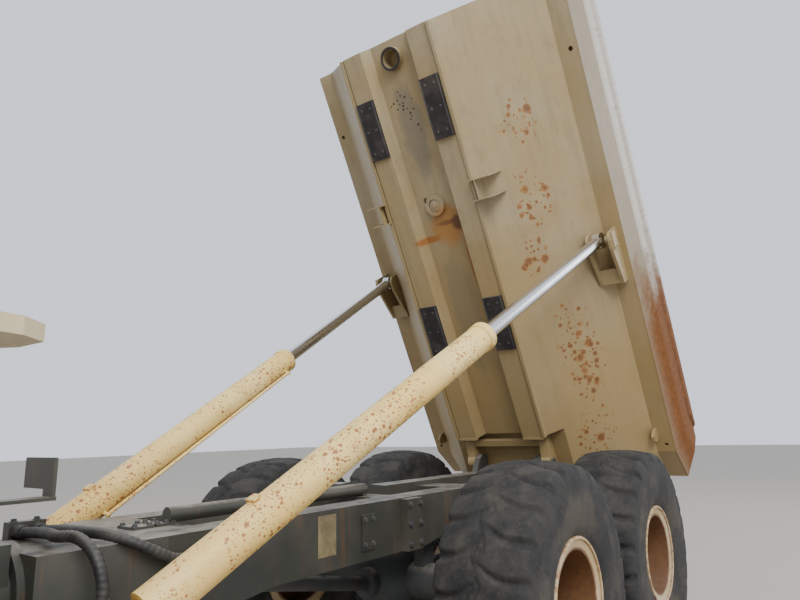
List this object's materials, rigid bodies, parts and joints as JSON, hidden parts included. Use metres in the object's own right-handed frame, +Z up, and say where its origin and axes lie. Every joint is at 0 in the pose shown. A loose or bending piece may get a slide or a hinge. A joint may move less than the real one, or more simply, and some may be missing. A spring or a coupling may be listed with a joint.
{
  "type": "articulated dump truck",
  "caption": "Three-axle articulated dump truck with a raised tipping bed, hoist cylinders, a pivoted cab section and big-lugged tyres.",
  "frame": {"origin": "middle of the truck's bounding box on the ground", "axes": "+X ahead towards the bumper, +Y to the truck's left, +Z up"},
  "size_m": [10.1805, 2.88, 5.9207],
  "materials": {
    "cream_paint": "worn satin paint",
    "frame_paint": "dusty satin paint",
    "axle_paint": "dirty satin paint",
    "black_paint": "satin paint",
    "chrome_rod": "polished",
    "exhaust_steel": "heat stained",
    "cast_iron": "rough",
    "tyre": "worn",
    "rubber": "matt",
    "black_plastic": "grained",
    "seat_cloth": "woven",
    "glass": "clear",
    "lamp_glass": "ribbed",
    "red_lens": "ribbed",
    "hose": "spiral wrapped"
  },
  "bodies": {
    "rear_frame": {"rear_frame": "frame_paint", "mid_axle": "axle_paint", "rear_axle": "axle_paint", "walking_beams": "axle_paint", "axle_links": "axle_paint", "propshafts": "axle_paint", "safety_prop": "frame_paint", "frame_hoses": "hose", "tail_lamps": "red_lens"},
    "hitch": {"hitch": "frame_paint"},
    "tractor": {"tractor_frame": "frame_paint", "front_axle": "axle_paint", "front_suspension": "rubber", "engine": "cast_iron", "bumper": "frame_paint", "cab": "cream_paint", "cab_glass": "glass", "seat": "seat_cloth", "console": "black_plastic", "platform": "frame_paint", "fenders": "cream_paint", "fuel_tank": "frame_paint", "hydraulic_tank": "frame_paint", "steps": "frame_paint", "handrails": "black_paint", "exhaust": "exhaust_steel", "air_cleaner": "frame_paint", "headlamps": "lamp_glass", "mirrors": "black_paint"},
    "hood": {"hood": "cream_paint", "grille": "black_paint"},
    "door": {"door": "cream_paint", "door_glass": "glass"},
    "bed": {"bed_shell": "cream_paint", "bed_chute": "cream_paint", "bed_fittings": "cream_paint", "bed_pads": "rubber", "bed_hinge_arms": "cream_paint", "ram_brackets": "cream_paint"},
    "hoist_barrel_left": {"hoist_barrel_left": "cream_paint"},
    "hoist_rod_left": {"hoist_rod_left": "chrome_rod"},
    "steer_barrel_left": {"steer_barrel_left": "frame_paint"},
    "steer_rod_left": {"steer_rod_left": "chrome_rod"},
    "hoist_barrel_right": {"hoist_barrel_right": "cream_paint"},
    "hoist_rod_right": {"hoist_rod_right": "chrome_rod"},
    "steer_barrel_right": {"steer_barrel_right": "frame_paint"},
    "steer_rod_right": {"steer_rod_right": "chrome_rod"},
    "wheel_front_left": {"tyre_front_left": "tyre", "rim_front_left": "cream_paint"},
    "wheel_front_right": {"tyre_front_right": "tyre", "rim_front_right": "cream_paint"},
    "wheel_mid_left": {"tyre_mid_left": "tyre", "rim_mid_left": "cream_paint"},
    "wheel_mid_right": {"tyre_mid_right": "tyre", "rim_mid_right": "cream_paint"},
    "wheel_rear_left": {"tyre_rear_left": "tyre", "rim_rear_left": "cream_paint"},
    "wheel_rear_right": {"tyre_rear_right": "tyre", "rim_rear_right": "cream_paint"}
  },
  "joints": [
    {"name": "bed_hinge", "type": "hinge", "parent": "rear_frame", "child": "bed", "pos_m": [-3.6927, 0, 1.503], "axis": [0, 1, 0], "range_deg": [0, 62.6]},
    {"name": "oscillation", "type": "hinge", "parent": "rear_frame", "child": "hitch", "pos_m": [0.6603, 0, 1.2], "axis": [1, 0, 0], "range_deg": [-20, 20]},
    {"name": "steering", "type": "hinge", "parent": "hitch", "child": "tractor", "pos_m": [1.0603, 0, 1.2], "axis": [0, 0, 1], "range_deg": [-45, 45]},
    {"name": "hood_hinge", "type": "hinge", "parent": "tractor", "child": "hood", "pos_m": [4.8203, 0, 1.41], "axis": [0, 1, 0], "range_deg": [0, 55]},
    {"name": "door_hinge", "type": "hinge", "parent": "tractor", "child": "door", "pos_m": [2.7573, 0.768, 2.4], "axis": [0, 0, -1], "range_deg": [0, 80]},
    {"name": "hoist_base_left", "type": "hinge", "parent": "rear_frame", "child": "hoist_barrel_left", "pos_m": [0.6803, 0.627, 1.104], "axis": [-0.3333, -0.8688, -0.3662], "range_deg": [-0.5, 10.86]},
    {"name": "hoist_stroke_left", "type": "slide", "parent": "hoist_barrel_left", "child": "hoist_rod_left", "axis": [-0.8589, 0.1196, 0.4979], "range_m": [-1.9302, 0.003]},
    {"name": "steer_base_left", "type": "hinge", "parent": "tractor", "child": "steer_barrel_left", "pos_m": [1.9603, 0.44, 1.06], "axis": [0, 0, 1], "range_deg": [-6, 6]},
    {"name": "steer_stroke_left", "type": "slide", "parent": "steer_barrel_left", "child": "steer_rod_left", "axis": [-0.9914, -0.1309, 0], "range_m": [-0.235, 0.235]},
    {"name": "hoist_base_right", "type": "hinge", "parent": "rear_frame", "child": "hoist_barrel_right", "pos_m": [0.6803, -0.627, 1.104], "axis": [0.3333, -0.8688, 0.3662], "range_deg": [-0.5, 10.86]},
    {"name": "hoist_stroke_right", "type": "slide", "parent": "hoist_barrel_right", "child": "hoist_rod_right", "axis": [-0.8589, -0.1196, 0.4979], "range_m": [-1.9302, 0.003]},
    {"name": "steer_base_right", "type": "hinge", "parent": "tractor", "child": "steer_barrel_right", "pos_m": [1.9603, -0.44, 1.06], "axis": [0, 0, 1], "range_deg": [-6, 6]},
    {"name": "steer_stroke_right", "type": "slide", "parent": "steer_barrel_right", "child": "steer_rod_right", "axis": [-0.9914, 0.1309, 0], "range_m": [-0.235, 0.235]},
    {"name": "wheel_front_left_spin", "type": "hinge", "parent": "tractor", "child": "wheel_front_left", "pos_m": [2.4353, 1.142, 0.808], "axis": [0, 1, 0], "continuous": true},
    {"name": "wheel_front_right_spin", "type": "hinge", "parent": "tractor", "child": "wheel_front_right", "pos_m": [2.4353, -1.142, 0.808], "axis": [0, 1, 0], "continuous": true},
    {"name": "wheel_mid_left_spin", "type": "hinge", "parent": "rear_frame", "child": "wheel_mid_left", "pos_m": [-1.7397, 1.142, 0.808], "axis": [0, 1, 0], "continuous": true},
    {"name": "wheel_mid_right_spin", "type": "hinge", "parent": "rear_frame", "child": "wheel_mid_right", "pos_m": [-1.7397, -1.142, 0.808], "axis": [0, 1, 0], "continuous": true},
    {"name": "wheel_rear_left_spin", "type": "hinge", "parent": "rear_frame", "child": "wheel_rear_left", "pos_m": [-3.4397, 1.142, 0.808], "axis": [0, 1, 0], "continuous": true},
    {"name": "wheel_rear_right_spin", "type": "hinge", "parent": "rear_frame", "child": "wheel_rear_right", "pos_m": [-3.4397, -1.142, 0.808], "axis": [0, 1, 0], "continuous": true}
  ],
  "couplings": [
    {"joint": "hoist_base_left", "follows": "bed_hinge", "ratio": 0.16549},
    {"joint": "hoist_stroke_left", "follows": "bed_hinge", "m_per_rad": -1.7639},
    {"joint": "steer_base_left", "follows": "steering", "ratio": -0.082235},
    {"joint": "steer_stroke_left", "follows": "steering", "m_per_rad": -0.29454},
    {"joint": "hoist_base_right", "follows": "bed_hinge", "ratio": 0.16549},
    {"joint": "hoist_stroke_right", "follows": "bed_hinge", "m_per_rad": -1.7639},
    {"joint": "steer_base_right", "follows": "steering", "ratio": -0.082235},
    {"joint": "steer_stroke_right", "follows": "steering", "m_per_rad": 0.29454}
  ]
}
